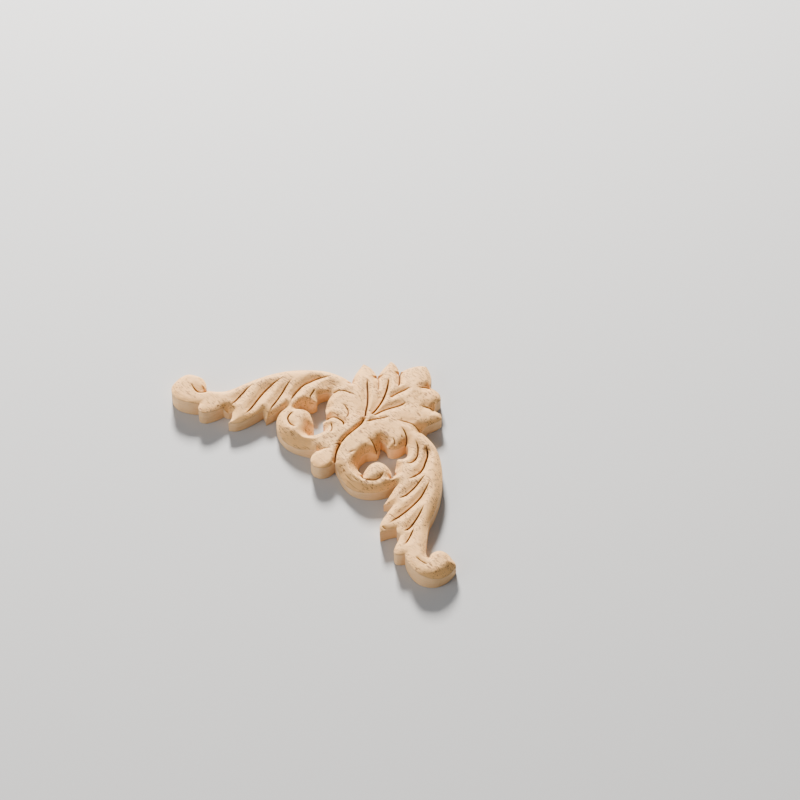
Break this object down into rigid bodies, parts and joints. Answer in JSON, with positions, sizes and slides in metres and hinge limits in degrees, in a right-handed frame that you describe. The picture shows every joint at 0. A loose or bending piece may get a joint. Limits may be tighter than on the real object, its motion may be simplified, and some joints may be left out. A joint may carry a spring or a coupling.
{
  "type": "carved wooden corner onlay",
  "caption": "Bare wood corner onlay in low relief: leafy arms with scrolled tips, open C-scrolls and a palmette, on a flat back that is glued into the corner of a panel.",
  "frame": {"origin": "on the flat glue face, at the heart of the ornament, where the two scrolls part above the bud", "axes": "+Z out of the carved face, +Y along the mirror line towards the palmette's tip, +X towards the right-hand arm's tip"},
  "size_m": [0.1345, 0.0744, 0.008],
  "materials": {
    "bare_wood": "bare sanded pale hardwood"
  },
  "bodies": {
    "root": {"corner_onlay": "bare_wood"}
  },
  "joints": []
}
